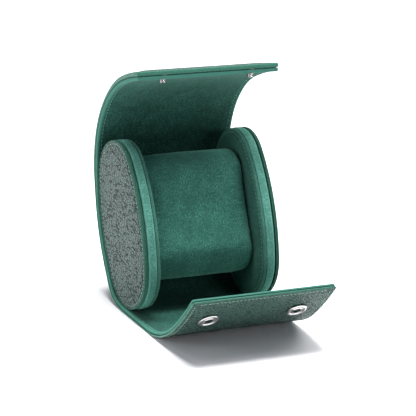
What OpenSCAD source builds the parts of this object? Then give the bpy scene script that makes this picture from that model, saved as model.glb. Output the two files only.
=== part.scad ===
// Travel case for one wristwatch, standing open.
// A stiff leather wrap bends round two padded oval end caps. Its upper end is
// the lid, its lower end is the front flap, and two press studs close it. A
// padded pillow sits between the caps. X runs along the case, -Y is the front,
// +Z is up, and the case rests on the flat stretch under the caps.

/* [Wrap] */
// Width of the leather across the case
wrap_w = 82; // [81:0.5:86]
// Thickness of the suede lining
lining_t = 1.0; // [0.8:0.1:1.2]
// Thickness of the stiffener board between lining and leather
board_t = 0.7; // [0.5:0.1:0.9]
// Thickness of the outer leather
leather_t = 0.9; // [0.7:0.1:1.1]
// How far the lining stops short of the leather's side edge
lining_inset = 0.35; // [0.2:0.05:0.6]
// How far the board stops short of the side and free edges
board_inset = 1.6; // [1:0.1:3]

/* [Lid] */
// Length of the first, nearly straight stretch of the open lid
lid_l1 = 15.5; // [14:0.5:18]
// Length of the tightly curved middle stretch of the open lid
lid_l2 = 55.5; // [54:0.5:57]
// Length of the flatter last stretch of the open lid
lid_l3 = 21; // [20:0.5:22]
// Bend of the middle stretch in degrees
lid_bend = 64; // [60:1:66]

/* [Front flap] */
// Length of the curved stretch of the open flap
flap_l2 = 35; // [34:0.5:36]
// Length of the straighter last stretch of the open flap
flap_l3 = 28.5; // [27:0.5:30]
// Bend of the curved stretch in degrees
flap_bend = 43; // [41:1:45]

/* [End caps] */
// Distance between the caps' outer faces
caps_w = 79.8; // [78:0.2:80.4]
// Distance between the caps' inner faces
caps_gap = 59.7; // [58:0.1:61]
// Half of a cap's depth from front to back
cap_b = 25.4; // [25:0.1:25.6]
// Radius of a cap's round top and bottom ends
cap_re = 22.3; // [22:0.1:22.6]
// Distance from a cap's middle to the centre of each round end
cap_c = 21.9; // [21.5:0.1:22]
// Thickness of a cap's padded leather disc
disc_t = 2.1; // [1.8:0.1:2.4]
// Depth of the groove between the leather disc and the suede rim
groove_in = 1.7; // [1:0.1:2]
// Angle at which the case leans back, in degrees
lean = 26; // [26:1:26]

/* [Pillow] */
// Length of the pillow between the caps
pillow_l = 58; // [54:0.5:58.5]
// Thickness of the pillow from front to back
pillow_d = 31; // [29:0.5:31.5]
// Height of the pillow along the caps
pillow_h = 66; // [62:0.5:67]
// Corner radius of the pillow
pillow_r = 14; // [10:1:16]

/* [Press studs] */
// Distance between the two press studs
snap_pitch = 50.6; // [40:0.2:56]
// Outer diameter of a socket
socket_d = 11; // [10:0.5:12]
// Diameter of the hole in a socket
socket_hole = 4.2; // [4.1:0.05:4.4]
// Distance from the flap's edge to the sockets
socket_edge = 19.5; // [19.5:0.1:19.5]
// Distance from the lid's edge to the studs
stud_edge = 4; // [4:0.1:4]

/* [Hidden] */

T = lining_t + board_t + leather_t;   // full thickness of the wrap
skin = 0.05;                          // play between caps and lining
t_board = lining_t;                   // offsets of the layers from the inside
t_leather = lining_t + board_t;

// The cap's oval has two side arcs that run smoothly into its two end arcs.
cap_rs = (cap_b * cap_b + cap_c * cap_c - cap_re * cap_re) / (2 * (cap_b - cap_re));
cap_a = asin(cap_c / (cap_rs - cap_re));           // half angle of a side arc
cap_z = T + skin + cap_c * cos(lean) + cap_re;     // height of the caps' middle

// The wrap lies on the caps' side arc at the back, from the heading corner_h
// at its lower end to h_hi at its upper end
function to_world(v, u) = [v * cos(lean) + u * sin(lean), -v * sin(lean) + u * cos(lean) + cap_z];
back_r = cap_rs + skin;
corner_h = 60;
leave_a = corner_h - (90 - lean);
back_lo = to_world(cap_b - cap_rs + back_r * cos(leave_a), back_r * sin(leave_a));
back_hi = to_world(cap_b - cap_rs + back_r * cos(cap_a), back_r * sin(cap_a));
h_hi = 90 - lean + cap_a;

// A path is a list of runs [y, z, heading, length, turn], each a straight line
// or an arc, and every run starts where the one before it ends.
function run_end(p, h, l, a) =
  abs(a) < 0.001 ? [p[0] + l * cos(h), p[1] + l * sin(h)]
  : let (r = l / (a * PI / 180)) [p[0] + r * (sin(h + a) - sin(h)), p[1] - r * (cos(h + a) - cos(h))];
function path(p, h, runs, i = 0) =
  i >= len(runs) ? []
  : let (l = runs[i][0], a = runs[i][1])
    concat([[p[0], p[1], h, l, a]], path(run_end(p, h, l, a), h + a, runs, i + 1));
// Point at arc length s and offset t; side is 1 when the outside lies to the
// right of the direction of travel and -1 when it lies to the left.
function at(pa, s, t, side, i = 0) =
  (s <= pa[i][3] || i == len(pa) - 1)
  ? let (f = s / pa[i][3], q = run_end([pa[i][0], pa[i][1]], pa[i][2], s, pa[i][4] * f), h = pa[i][2] + pa[i][4] * f)
    [q[0] + side * t * sin(h), q[1] - side * t * cos(h), h]
  : at(pa, s - pa[i][3], t, side, i + 1);
function total(pa, i = 0) = i >= len(pa) ? 0 : pa[i][3] + total(pa, i + 1);

// The back: flat foot, lower corner, straight link, side arc, start of the lid
corner_r = 7;
link_l = (back_lo[1] - T - corner_r * (1 - cos(corner_h))) / sin(corner_h);
foot_back_y = back_lo[0] - link_l * cos(corner_h) - corner_r * sin(corner_h);
foot_front_y = -16.4;
lid_start = 7;                          // where the lid's first bend line lies
lid_path = path(back_hi, h_hi, [[lid_l1, 9], [lid_l2, lid_bend], [lid_l3, 13]]);
back_path = path([foot_front_y, T], 0, [
  [foot_back_y - foot_front_y, 0],
  [corner_r * corner_h * PI / 180, corner_h],
  [link_l, 0],
  [back_r * (cap_a - leave_a) * PI / 180, cap_a - leave_a],
  [lid_start, 9 * lid_start / lid_l1]]);
// The flap runs forward from the foot and curls up
flap_flat = 21.5;
flap_path = path([foot_front_y, T], 180, [[flap_flat, 0], [flap_l2, -flap_bend], [flap_l3, -10]]);
lid_len = total(lid_path);
flap_len = total(flap_path);
back_len = total(back_path);
lid_cuts = [lid_start, 21.5, 36, 50.5, lid_len];
flap_cuts = [0, 11, 22, flap_len];
cut_gap = 0.1;
edge_back = 0.6;                        // lining stops short at the free edges

// Outline of a layer between two offsets, with a corner at each arc length of ss
function band(pa, ss, t0, t1, side) = let (n = len(ss) - 1) concat(
  [for (i = [0:n]) let (p = at(pa, ss[i], t0, side)) [p[0], p[1]]],
  [for (i = [n:-1:0]) let (p = at(pa, ss[i], t1, side)) [p[0], p[1]]]);
// Corners from s0 to s1 at an even step of about 2 mm, and one more at s2 if a
// layer runs on past s1, so that layers that touch have the same corners
function stops(s0, s1, s2) = let (n = ceil((s1 - s0) / 2)) concat(
  [for (i = [0:n]) s0 + (s1 - s0) * i / n], s2 > s1 + 0.01 ? [s2] : []);

// The origin is the middle of the case's outline on the ground, so everything
// is drawn about the path and then moved by y_mid.
y_low = at(flap_path, flap_len, T, -1)[0];
y_high = max([for (i = [0:60]) at(lid_path, i, T, 1)[0]]);
y_mid = (y_low + y_high) / 2;

// Extrude a drawing made in the YZ plane along X, centred
module along_x(w) { translate([-w / 2, -y_mid, 0]) rotate([90, 0, 90]) linear_extrude(w) children(); }
module strip(pa, ss, t0, t1, side, w) { along_x(w) polygon(band(pa, ss, t0, t1, side)); }
// Turn +Z to the outward normal of the path at s, with its foot at offset t
module on_path(pa, s, t, side) {
  p = at(pa, s, t, side);
  n = [side * sin(p[2]), -side * cos(p[2])];
  translate([0, p[0] - y_mid, p[1]]) rotate([atan2(-n[0], n[1]), 0, 0]) children();
}
module pair() { for (x = [-snap_pitch / 2, snap_pitch / 2]) translate([x, 0, 0]) children(); }

leather_c = [0.36, 0.47, 0.44];
suede_c = [0.20, 0.47, 0.39];
board_c = [0.55, 0.50, 0.42];
foam_c = [0.86, 0.85, 0.80];
metal_c = [0.80, 0.80, 0.82];

// ---- Back of the wrap, fixed to the caps
back_ss = stops(cut_gap, back_len - cut_gap, 0);
module back_leather() { color(leather_c) strip(back_path, back_ss, t_leather, T, 1, wrap_w); }
module back_board() { color(board_c) strip(back_path, back_ss, t_board, t_leather, 1, wrap_w - 2 * board_inset); }
module back_lining() { color(suede_c) strip(back_path, back_ss, 0, lining_t, 1, wrap_w - 2 * lining_inset); }

// ---- Lid, in four panels that bend at the lines between them
module lid_layer(i, t0, t1, w, end_in) {
  last = i == 3;
  strip(lid_path, stops(lid_cuts[i] + cut_gap, lid_cuts[i + 1] - (last ? board_inset : cut_gap), last ? lid_len - end_in : 0), t0, t1, 1, w);
}
// Holes through the board for the two stud posts
module stud_bores() { pair() on_path(lid_path, lid_len - stud_edge, 0, 1) translate([0, 0, -1]) cylinder(h = 6, r = 0.9, $fn = 32); }
module lid_leather(i) {
  color(leather_c) difference() {
    lid_layer(i, t_leather, T, wrap_w, 0);
    // Pocket under the leather for the posts' heads
    if (i == 3) pair() on_path(lid_path, lid_len - stud_edge, t_leather - 0.2, 1) cylinder(h = 0.6, r = 3.1, $fn = 48);
  }
}
module lid_board(i) {
  color(board_c) difference() {
    lid_layer(i, t_board, t_leather, wrap_w - 2 * board_inset, board_inset);
    if (i == 3) stud_bores();
  }
}
module lid_lining(i) {
  color(suede_c) difference() {
    lid_layer(i, 0, lining_t, wrap_w - 2 * lining_inset, edge_back);
    if (i == 3) stud_bores();
  }
}

// ---- Front flap, in three panels
module flap_layer(i, t0, t1, w, end_in) {
  last = i == 2;
  strip(flap_path, stops(flap_cuts[i] + cut_gap, flap_cuts[i + 1] - (last ? board_inset : cut_gap), last ? flap_len - end_in : 0), t0, t1, -1, w);
}
// Seats for the sockets, through leather and board, and the rivets' pockets
module socket_bores(r) { pair() on_path(flap_path, flap_len - socket_edge, 0.35, -1) cylinder(h = 6, r = r, $fn = 48); }
module flap_leather(i) { color(leather_c) difference() { flap_layer(i, t_leather, T, wrap_w, 0); if (i == 2) socket_bores(2.9); } }
module flap_board(i) { color(board_c) difference() { flap_layer(i, t_board, t_leather, wrap_w - 2 * board_inset, board_inset); if (i == 2) socket_bores(2.9); } }
module flap_lining(i) {
  color(suede_c) difference() {
    flap_layer(i, 0, lining_t, wrap_w - 2 * lining_inset, edge_back);
    if (i == 2) pair() on_path(flap_path, flap_len - socket_edge, lining_t - 0.6, -1) cylinder(h = 4, r = 4.1, $fn = 48);
  }
}

// ---- End caps
// Oval outline of a cap, grown by d
function oval_quarter(d, n = 8, m = 16) = concat(
  [for (i = [0:n]) let (a = cap_a * i / n) [cap_b - cap_rs + (cap_rs + d) * cos(a), (cap_rs + d) * sin(a)]],
  [for (i = [1:m]) let (a = cap_a + (90 - cap_a) * i / m) [(cap_re + d) * cos(a), cap_c + (cap_re + d) * sin(a)]]);
function oval(d) = let (q = oval_quarter(d), n = len(q) - 1) concat(
  q,
  [for (i = [n - 1:-1:0]) [-q[i][0], q[i][1]]],
  [for (i = [1:n]) [-q[i][0], -q[i][1]]],
  [for (i = [n - 1:-1:1]) [q[i][0], -q[i][1]]]);
// Leaned-back frame of the caps: x along the case, y to the back, z up the cap
module leaned() { translate([0, -y_mid, cap_z]) rotate([-lean, 0, 0]) children(); }
// A slab of the oval between two distances from the middle; side -1 is left
module slab(side, x0, x1, d) {
  leaned() translate([side > 0 ? x0 : -x1, 0, 0]) rotate([90, 0, 90]) linear_extrude(x1 - x0) polygon(oval(d));
}
x_out = caps_w / 2;
x_disc = x_out - disc_t;
x_board = x_disc - 0.7;
x_in = caps_gap / 2;
module cap_leather(side) {
  color(leather_c) union() {
    slab(side, x_disc, x_out - 1.2, 0);
    slab(side, x_out - 1.2, x_out - 0.5, -0.35);
    slab(side, x_out - 0.5, x_out, -1.1);
  }
}
module cap_board(side) { color(board_c) slab(side, x_board, x_disc, -groove_in); }
module cap_rim(side) {
  color(suede_c) difference() {
    slab(side, x_in + 0.9, x_board, -0.6);
    slab(side, x_in + 0.5, x_board + 1, -1.6);
  }
}
module cap_foam(side) { color(foam_c) slab(side, x_in + 0.9, x_board, -1.6); }
module cap_inner_panel(side) {
  color(suede_c) union() { slab(side, x_in + 0.4, x_in + 0.9, -0.6); slab(side, x_in, x_in + 0.4, -1.1); }
}

// ---- Pillow
function round_rect(w, h, r, n = 8) = [
  for (k = [0:3]) for (i = [0:n])
    let (a = 90 * k + 90 * i / n, sx = (k == 0 || k == 3) ? 1 : -1, sy = k < 2 ? 1 : -1)
    [sx * (w / 2 - r) + r * cos(a), sy * (h / 2 - r) + r * sin(a)]];
pillow_v = -0.5;                        // its middle, behind the caps' middle
pillow_u = 2;                           // and above it
module pillow_shape(w, d) {
  leaned() translate([-w / 2, pillow_v, pillow_u]) rotate([90, 0, 90]) linear_extrude(w)
    polygon(round_rect(pillow_d - 2 * d, pillow_h - 2 * d, pillow_r - d));
}
module pillow_foam() { color(foam_c) pillow_shape(pillow_l - 2, 1); }
module pillow_cover() { color(suede_c) difference() { pillow_shape(pillow_l - 2, 0); pillow_shape(pillow_l, 1); } }
module pillow_end_panels() {
  color(suede_c) for (s = [-1, 1]) translate([s * (pillow_l / 2 - 0.5), 0, 0]) pillow_shape(1, 0.3);
}

// ---- Press studs
// Ring of a socket: rolled rim round a shallow dish, with a neck down the seat
// and a slot across the neck at each side for a spring wire
module snap_sockets() {
  ro = socket_d / 2; ri = socket_hole / 2;
  color(metal_c) pair() on_path(flap_path, flap_len - socket_edge, T, -1) difference() {
    rotate_extrude($fn = 72) polygon([
      [ri, -0.9], [2.8, -0.9], [2.8, 0.02], [ro - 0.4, 0.02], [ro, 0.25], [ro, 0.75], [ro - 0.35, 1.1],
      [ro - 0.9, 1.25], [ro - 1.4, 1.1], [ro - 1.7, 0.75], [ri + 0.9, 0.75], [ri + 0.6, 1.05], [ri, 1.05]]);
    for (s = [-1, 1]) translate([s * (socket_hole / 2 + 0.08), 0, 0.95]) cube([0.84, 2.84, 0.58], center = true);
  }
}
// Two short wires that snap round a stud's neck, one at each side of a hole
module snap_spring_wires() {
  color([0.6, 0.6, 0.62]) pair() on_path(flap_path, flap_len - socket_edge, T, -1)
    for (s = [-1, 1]) translate([s * (socket_hole / 2 + 0.24), 0, 0.9]) rotate([90, 0, 0])
      translate([0, 0, -1.4]) cylinder(h = 2.8, r = 0.22, $fn = 24);
}
// Rivet behind each socket, its head between board and lining
module snap_rivets() {
  color(metal_c) pair() on_path(flap_path, flap_len - socket_edge, lining_t, -1) {
    translate([0, 0, -0.58]) cylinder(h = 0.38, r = 4, $fn = 48);
    translate([0, 0, -0.2]) cylinder(h = T - lining_t - 0.7, r = 2.8, $fn = 48);
  }
}
// Stud that stands out of the lid's lining, with a groove under its head
module snap_studs() {
  color(metal_c) pair() on_path(lid_path, lid_len - stud_edge, 0, 1) mirror([0, 0, 1])
    rotate_extrude($fn = 48) polygon([[0.5, 0.03], [1.85, 0.03], [1.85, 0.35], [1.4, 0.65], [1.4, 1.35], [1.75, 1.65], [1.75, 1.95], [1.4, 2.2], [0.5, 2.3]]);
}
// Post that holds a stud, with its wide head under the leather
module snap_stud_posts() {
  color(metal_c) pair() on_path(lid_path, lid_len - stud_edge, 0, 1) {
    translate([0, 0, -2]) cylinder(h = 2, r = 0.5, $fn = 32);
    cylinder(h = t_leather, r = 0.9, $fn = 32);
    translate([0, 0, t_leather]) cylinder(h = 0.35, r = 3, $fn = 48);
  }
}

back_leather();
back_board();
back_lining();
lid_leather(0);  // lid_leather_1
lid_leather(1);  // lid_leather_2
lid_leather(2);  // lid_leather_3
lid_leather(3);  // lid_leather_4
lid_board(0);  // lid_board_1
lid_board(1);  // lid_board_2
lid_board(2);  // lid_board_3
lid_board(3);  // lid_board_4
lid_lining(0);  // lid_lining_1
lid_lining(1);  // lid_lining_2
lid_lining(2);  // lid_lining_3
lid_lining(3);  // lid_lining_4
flap_leather(0);  // flap_leather_1
flap_leather(1);  // flap_leather_2
flap_leather(2);  // flap_leather_3
flap_board(0);  // flap_board_1
flap_board(1);  // flap_board_2
flap_board(2);  // flap_board_3
flap_lining(0);  // flap_lining_1
flap_lining(1);  // flap_lining_2
flap_lining(2);  // flap_lining_3
cap_leather(-1);  // left_cap_leather
cap_board(-1);  // left_cap_board
cap_foam(-1);  // left_cap_foam
cap_rim(-1);  // left_cap_rim
cap_inner_panel(-1);  // left_cap_inner_panel
cap_leather(1);  // right_cap_leather
cap_board(1);  // right_cap_board
cap_foam(1);  // right_cap_foam
cap_rim(1);  // right_cap_rim
cap_inner_panel(1);  // right_cap_inner_panel
pillow_foam();
pillow_cover();
pillow_end_panels();
snap_sockets();
snap_spring_wires();
snap_rivets();
snap_studs();
snap_stud_posts();
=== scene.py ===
import bpy, bmesh, math
import numpy as np
from mathutils import Matrix, Vector, noise


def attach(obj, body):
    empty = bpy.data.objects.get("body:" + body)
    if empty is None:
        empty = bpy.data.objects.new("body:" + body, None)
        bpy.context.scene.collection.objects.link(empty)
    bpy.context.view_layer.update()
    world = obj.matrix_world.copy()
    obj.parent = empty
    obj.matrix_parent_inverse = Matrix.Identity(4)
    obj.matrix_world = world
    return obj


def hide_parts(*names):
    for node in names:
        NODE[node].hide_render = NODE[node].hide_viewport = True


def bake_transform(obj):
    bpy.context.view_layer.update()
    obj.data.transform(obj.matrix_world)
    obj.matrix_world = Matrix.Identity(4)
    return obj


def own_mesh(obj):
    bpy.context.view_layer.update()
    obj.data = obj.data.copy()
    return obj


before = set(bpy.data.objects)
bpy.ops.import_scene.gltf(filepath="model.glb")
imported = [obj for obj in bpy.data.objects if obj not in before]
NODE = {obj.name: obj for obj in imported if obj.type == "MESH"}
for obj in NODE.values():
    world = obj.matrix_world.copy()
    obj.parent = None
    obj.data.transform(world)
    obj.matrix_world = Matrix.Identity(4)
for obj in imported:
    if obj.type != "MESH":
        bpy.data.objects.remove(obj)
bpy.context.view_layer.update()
scene = bpy.context.scene
rad, deg = math.radians, math.degrees
MM = 0.001

# --------------------------------------------------------------------------
# The case's own geometry, in millimetres, as the solids were drawn
# --------------------------------------------------------------------------
WRAP_W, LINING_T, BOARD_T, LEATHER_T = 82.0, 1.0, 0.7, 0.9
THICK = LINING_T + BOARD_T + LEATHER_T
LEAN, SKIN = 26.0, 0.05
CAP_B, CAP_RE, CAP_C = 25.4, 22.3, 21.9
CAP_RS = (CAP_B ** 2 + CAP_C ** 2 - CAP_RE ** 2) / (2 * (CAP_B - CAP_RE))
CAP_A = deg(math.asin(CAP_C / (CAP_RS - CAP_RE)))
CAP_Z = THICK + SKIN + CAP_C * math.cos(rad(LEAN)) + CAP_RE
BACK_R = CAP_RS + SKIN
CORNER_H, CORNER_R, FOOT_FRONT = 60.0, 7.0, -16.4
LID_RUNS = [(15.5, 9.0), (55.5, 64.0), (21.0, 13.0)]
FLAP_RUNS = [(21.5, 0.0), (35.0, -43.0), (28.5, -10.0)]
LID_START, LID_CUTS, FLAP_CUTS = 7.0, [7.0, 21.5, 36.0, 50.5], [0.0, 11.0, 22.0]
LID_LEN, FLAP_LEN = 92.0, 85.0
SNAP_X, SOCKET_EDGE, STUD_EDGE = 25.3, 19.5, 4.0
X_OUT, X_DISC, X_BOARD, X_IN = 39.9, 37.8, 37.1, 29.85


def lean_yz(v, u):
    c, s = math.cos(rad(LEAN)), math.sin(rad(LEAN))
    return v * c + u * s, -v * s + u * c + CAP_Z


def walk(y, z, h, runs, step=0.05):
    """Points (y, z), heading in degrees and arc length along a run of arcs."""
    out = [(y, z, h, 0.0)]
    s = 0.0
    for length, turn in runs:
        n = max(1, int(round(length / step)))
        for _ in range(n):
            ds, dh = length / n, turn / n
            hm = rad(h + dh / 2)
            chord = ds if abs(dh) < 1e-9 else 2 * ds / rad(abs(dh)) * math.sin(rad(abs(dh)) / 2)
            y, z, h, s = y + chord * math.cos(hm), z + chord * math.sin(hm), h + dh, s + ds
            out.append((y, z, h, s))
    return np.array(out)


LEAVE_A = CORNER_H - (90 - LEAN)
LO = lean_yz(CAP_B - CAP_RS + BACK_R * math.cos(rad(LEAVE_A)), BACK_R * math.sin(rad(LEAVE_A)))
LINK = (LO[1] - THICK - CORNER_R * (1 - math.cos(rad(CORNER_H)))) / math.sin(rad(CORNER_H))
FOOT_BACK = LO[0] - LINK * math.cos(rad(CORNER_H)) - CORNER_R * math.sin(rad(CORNER_H))
BACK_RUNS = [
    (FOOT_BACK - FOOT_FRONT, 0.0),
    (CORNER_R * rad(CORNER_H), CORNER_H),
    (LINK, 0.0),
    (BACK_R * rad(CAP_A - LEAVE_A), CAP_A - LEAVE_A),
]
BACK_LEN = sum(r[0] for r in BACK_RUNS)          # where the lid's own path begins
S_LID = BACK_LEN
S_END = BACK_LEN + LID_LEN
S_TIP = -FLAP_LEN
_up = walk(FOOT_FRONT, THICK, 0.0, BACK_RUNS + LID_RUNS)
_fl = walk(FOOT_FRONT, THICK, 180.0, FLAP_RUNS)
# One arc length for the whole wrap: flap tip at S_TIP, fold at the foot 0, lid edge at S_END
PATH_S = np.concatenate([-_fl[::-1, 3], _up[1:, 3]])
PATH_Y = np.concatenate([_fl[::-1, 0], _up[1:, 0]])
PATH_Z = np.concatenate([_fl[::-1, 1], _up[1:, 1]])
PATH_H = np.concatenate([_fl[::-1, 2] - 180.0, _up[1:, 2]])
_h = np.radians(PATH_H)
Y_MID = (PATH_Y[0] + THICK * math.sin(_h[0]) + (PATH_Y + THICK * np.sin(_h)).max()) / 2
PATH_Y = PATH_Y - Y_MID


def cap_gap(y, z):
    """Distance from the end caps' outline, for points of the wrap's inside."""
    y, z = y + Y_MID, z - CAP_Z
    c, s = math.cos(rad(LEAN)), math.sin(rad(LEAN))
    v, u = np.abs(y * c - z * s), np.abs(y * s + z * c)
    cv = v + (CAP_RS - CAP_B)
    side = np.hypot(cv, u) - CAP_RS
    return np.where(np.degrees(np.arctan2(u, cv)) < CAP_A, side, np.hypot(v, u - CAP_C) - CAP_RE)


# Behind the foot the soft wrap is drawn in towards the caps, so its bend is rounder
SNUG = np.where((PATH_S > 7.5) & (PATH_S < 60), 0.8 * np.clip(cap_gap(PATH_Y, PATH_Z) - 0.08, 0, None), 0.0)


def wrap_at(S, t):
    """(y, z) of the wrap at arc length S and offset t outward from its inside."""
    S, t = np.asarray(S, float), np.asarray(t, float)
    t = t - np.interp(S, PATH_S, SNUG)
    h = np.radians(np.interp(S, PATH_S, PATH_H))
    y, z = np.interp(S, PATH_S, PATH_Y), np.interp(S, PATH_S, PATH_Z)
    over = S - np.clip(S, PATH_S[0], PATH_S[-1])
    return y + over * np.cos(h) + t * np.sin(h), z + over * np.sin(h) - t * np.cos(h)


def heading(S):
    return np.interp(S, PATH_S, PATH_H)


# --------------------------------------------------------------------------
# Small helpers
# --------------------------------------------------------------------------
def fbm(p, octaves=3):
    return noise.fractal(Vector(p), 1.0, 2.0, octaves)


def noise2(X, Y, scale, seed=0.0, octaves=2):
    """Smooth noise over two arrays, about -1 to 1."""
    out = np.empty(X.size)
    xf, yf = X.ravel() / scale, Y.ravel() / scale
    for i in range(out.size):
        out[i] = noise.fractal(Vector((xf[i], yf[i], seed)), 1.0, 2.0, octaves)
    return out.reshape(X.shape)


def make(name, verts_mm, faces, mat, uv=None, face_uv=None, sharp=None, attrs=None, smooth=True, closed=True):
    """A mesh object from millimetres. uv is per vertex, face_uv per corner in face order."""
    me = bpy.data.meshes.new(name)
    me.from_pydata((np.asarray(verts_mm, float) * MM).tolist(), [], [tuple(int(i) for i in f) for f in faces])
    if uv is not None or face_uv is not None:
        layer = me.uv_layers.new(name="Grain")
        if face_uv is None:
            idx = np.empty(len(me.loops), np.int64)
            me.loops.foreach_get("vertex_index", idx)
            face_uv = np.asarray(uv, float)[idx]
        layer.data.foreach_set("uv", (np.asarray(face_uv, float) / 100.0).astype(np.float32).ravel())
    for key, val in (attrs or {}).items():
        a = me.attributes.new(key, "FLOAT", "POINT")
        a.data.foreach_set("value", np.asarray(val, np.float32))
    me.polygons.foreach_set("use_smooth", np.full(len(me.polygons), smooth))
    me.validate()
    if closed:
        bm = bmesh.new()
        bm.from_mesh(me)
        bmesh.ops.recalc_face_normals(bm, faces=bm.faces)
        bm.to_mesh(me)
        bm.free()
    if sharp:
        want = set(tuple(sorted(map(int, e))) for e in sharp)
        for e in me.edges:
            if tuple(sorted(e.vertices)) in want:
                e.use_edge_sharp = True
    me.update()
    ob = bpy.data.objects.new(name, me)
    scene.collection.objects.link(ob)
    if mat is not None:
        me.materials.append(mat)
    return ob


def grid_solid(outer, inner):
    """Points of a closed solid between two grids of points (R rows, C columns, 3).
    Returns the vertices and the two grids' index arrays."""
    R, C = outer.shape[:2]
    verts = np.concatenate([outer.reshape(-1, 3), inner.reshape(-1, 3)])
    A = np.arange(R * C).reshape(R, C)
    B = A + R * C
    return verts, A, B


def quads(a, flip=False):
    """Faces of a grid of indices."""
    q = np.stack([a[:-1, :-1], a[:-1, 1:], a[1:, 1:], a[1:, :-1]], -1).reshape(-1, 4)
    return q[:, ::-1] if flip else q


# --------------------------------------------------------------------------
# Materials. All are node patterns on the pieces' own "Grain" map, whose unit
# is 100 mm, or on object coordinates for hard parts.
# --------------------------------------------------------------------------
class Nodes:
    def __init__(self, name):
        self.mat = bpy.data.materials.new(name)
        self.mat.use_nodes = True
        self.t = self.mat.node_tree
        self.t.nodes.clear()
        self.out = self.t.nodes.new("ShaderNodeOutputMaterial")
        self.bsdf = self.t.nodes.new("ShaderNodeBsdfPrincipled")
        self.t.links.new(self.bsdf.outputs[0], self.out.inputs[0])

    def set(self, **kw):
        for k, v in kw.items():
            self.bsdf.inputs[k.replace("_", " ")].default_value = v
        return self

    def new(self, kind, **kw):
        n = self.t.nodes.new(kind)
        for k, v in kw.items():
            setattr(n, k, v)
        return n

    def link(self, a, b):
        self.t.links.new(a, b)

    def math(self, op, a, b=None, c=None, clamp=False):
        n = self.new("ShaderNodeMath", operation=op, use_clamp=clamp)
        for i, v in enumerate((a, b, c)):
            if v is None:
                continue
            if isinstance(v, (int, float)):
                n.inputs[i].default_value = v
            else:
                self.link(v, n.inputs[i])
        return n.outputs[0]

    def ramp(self, v, lo, hi, a=0.0, b=1.0, smooth=True):
        n = self.new("ShaderNodeMapRange", interpolation_type="SMOOTHSTEP" if smooth else "LINEAR")
        self.link(v, n.inputs["Value"])
        for k, x in (("From Min", lo), ("From Max", hi), ("To Min", a), ("To Max", b)):
            n.inputs[k].default_value = x
        return n.outputs["Result"]

    def mix(self, f, a, b, mode="MIX"):
        n = self.new("ShaderNodeMix", data_type="RGBA", blend_type=mode)
        for sock, v in ((n.inputs[0], f), (n.inputs[6], a), (n.inputs[7], b)):
            if isinstance(v, (int, float)):
                sock.default_value = v
            elif isinstance(v, (tuple, list)):
                sock.default_value = (*v[:3], 1.0)
            else:
                self.link(v, sock)
        return n.outputs[2]

    def noise(self, vec, scale, detail=2.0, rough=0.5, dist=0.0):
        n = self.new("ShaderNodeTexNoise")
        n.inputs["Scale"].default_value = scale
        n.inputs["Detail"].default_value = detail
        n.inputs["Roughness"].default_value = rough
        n.inputs["Distortion"].default_value = dist
        self.link(vec, n.inputs["Vector"])
        return n

    def grain(self):
        n = self.new("ShaderNodeUVMap", uv_map="Grain")
        return n.outputs[0]

    def attr(self, name):
        n = self.new("ShaderNodeAttribute", attribute_name=name)
        return n.outputs["Fac"]

    def bump(self, height, strength, distance, normal=None):
        n = self.new("ShaderNodeBump")
        n.inputs["Strength"].default_value = strength
        n.inputs["Distance"].default_value = distance
        self.link(height, n.inputs["Height"])
        if normal is not None:
            self.link(normal, n.inputs["Normal"])
        return n.outputs[0]


def srgb(r, g, b):
    f = lambda c: c / 12.92 if c <= 0.04045 else ((c + 0.055) / 1.055) ** 2.4
    return tuple(f(x / 255.0) for x in (r, g, b))


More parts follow.
